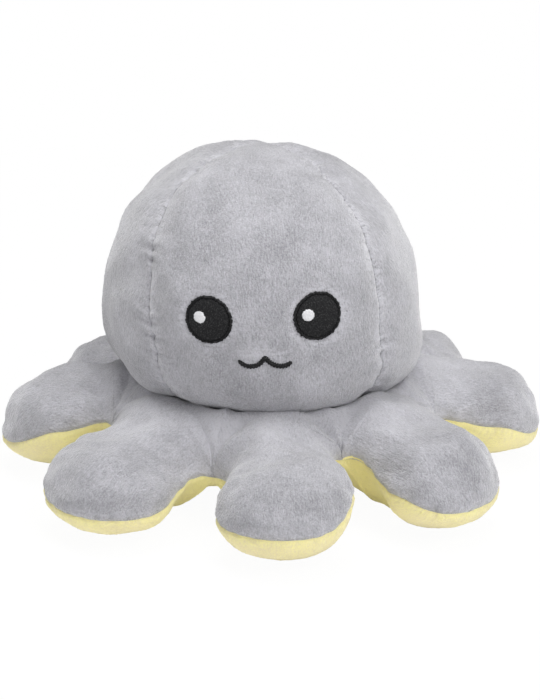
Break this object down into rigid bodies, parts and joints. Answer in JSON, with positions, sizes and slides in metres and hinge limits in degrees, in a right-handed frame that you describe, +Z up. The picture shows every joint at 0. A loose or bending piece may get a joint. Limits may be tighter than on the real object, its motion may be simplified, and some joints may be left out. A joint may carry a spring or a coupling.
{
  "type": "plush octopus",
  "caption": "Reversible stuffed octopus: a round grey head on a skirt of short lobed arms, yellow underneath, with a second head turned in as a pocket.",
  "frame": {"origin": "on the floor below the middle of the toy's box", "axes": "+Z up, the face looks along -Y, and +X is the toy's side that a viewer in front sees on the right"},
  "size_m": [0.1998, 0.1998, 0.1183],
  "materials": {
    "grey_velour": "short soft pile",
    "yellow_velour": "short soft pile",
    "black_thread": "satin stitch",
    "white_thread": "satin stitch",
    "grey_thread": "matt",
    "fibre": "loose fibre"
  },
  "bodies": {
    "root": {"head_panel_front": "grey_velour", "head_panel_right": "grey_velour", "head_panel_back": "grey_velour", "head_panel_left": "grey_velour", "skirt_top_centre": "grey_velour", "inner_head_panel_front": "yellow_velour", "inner_head_panel_right": "yellow_velour", "inner_head_panel_back": "yellow_velour", "inner_head_panel_left": "yellow_velour", "skirt_bottom_centre": "yellow_velour", "eye_left": "black_thread", "eye_right": "black_thread", "mouth": "black_thread", "inner_eye_left": "black_thread", "inner_eye_right": "black_thread", "inner_mouth": "black_thread", "eye_highlight_left": "white_thread", "eye_highlight_right": "white_thread", "neck_stitching": "grey_thread", "head_filling": "fibre", "skirt_filling": "fibre"},
    "arm_1": {"arm_1_top": "grey_velour", "arm_1_bottom": "yellow_velour", "arm_1_filling": "fibre"},
    "arm_2": {"arm_2_top": "grey_velour", "arm_2_bottom": "yellow_velour", "arm_2_filling": "fibre"},
    "arm_3": {"arm_3_top": "grey_velour", "arm_3_bottom": "yellow_velour", "arm_3_filling": "fibre"},
    "arm_4": {"arm_4_top": "grey_velour", "arm_4_bottom": "yellow_velour", "arm_4_filling": "fibre"},
    "arm_5": {"arm_5_top": "grey_velour", "arm_5_bottom": "yellow_velour", "arm_5_filling": "fibre"},
    "arm_6": {"arm_6_top": "grey_velour", "arm_6_bottom": "yellow_velour", "arm_6_filling": "fibre"},
    "arm_7": {"arm_7_top": "grey_velour", "arm_7_bottom": "yellow_velour", "arm_7_filling": "fibre"},
    "arm_8": {"arm_8_top": "grey_velour", "arm_8_bottom": "yellow_velour", "arm_8_filling": "fibre"}
  },
  "joints": [
    {"name": "arm_1_lift", "type": "hinge", "parent": "root", "child": "arm_1", "pos_m": [0.00303, -0.05792, 0.017], "axis": [-0.9986, -0.0523, 0], "range_deg": [-20, 40], "stiffness_Nm_per_rad": 0.004},
    {"name": "arm_2_lift", "type": "hinge", "parent": "root", "child": "arm_2", "pos_m": [0.0431, -0.03881, 0.017], "axis": [-0.6691, -0.7431, 0], "range_deg": [-20, 40], "stiffness_Nm_per_rad": 0.004},
    {"name": "arm_3_lift", "type": "hinge", "parent": "root", "child": "arm_3", "pos_m": [0.05792, 0.00303, 0.017], "axis": [0.0523, -0.9986, 0], "range_deg": [-20, 40], "stiffness_Nm_per_rad": 0.004},
    {"name": "arm_4_lift", "type": "hinge", "parent": "root", "child": "arm_4", "pos_m": [0.03881, 0.0431, 0.017], "axis": [0.7431, -0.6691, 0], "range_deg": [-20, 40], "stiffness_Nm_per_rad": 0.004},
    {"name": "arm_5_lift", "type": "hinge", "parent": "root", "child": "arm_5", "pos_m": [-0.00303, 0.05792, 0.017], "axis": [0.9986, 0.0523, 0], "range_deg": [-20, 40], "stiffness_Nm_per_rad": 0.004},
    {"name": "arm_6_lift", "type": "hinge", "parent": "root", "child": "arm_6", "pos_m": [-0.0431, 0.03881, 0.017], "axis": [0.6691, 0.7431, 0], "range_deg": [-20, 40], "stiffness_Nm_per_rad": 0.004},
    {"name": "arm_7_lift", "type": "hinge", "parent": "root", "child": "arm_7", "pos_m": [-0.05792, -0.00303, 0.017], "axis": [-0.0523, 0.9986, 0], "range_deg": [-20, 40], "stiffness_Nm_per_rad": 0.004},
    {"name": "arm_8_lift", "type": "hinge", "parent": "root", "child": "arm_8", "pos_m": [-0.03881, -0.0431, 0.017], "axis": [-0.7431, 0.6691, 0], "range_deg": [-20, 40], "stiffness_Nm_per_rad": 0.004}
  ]
}
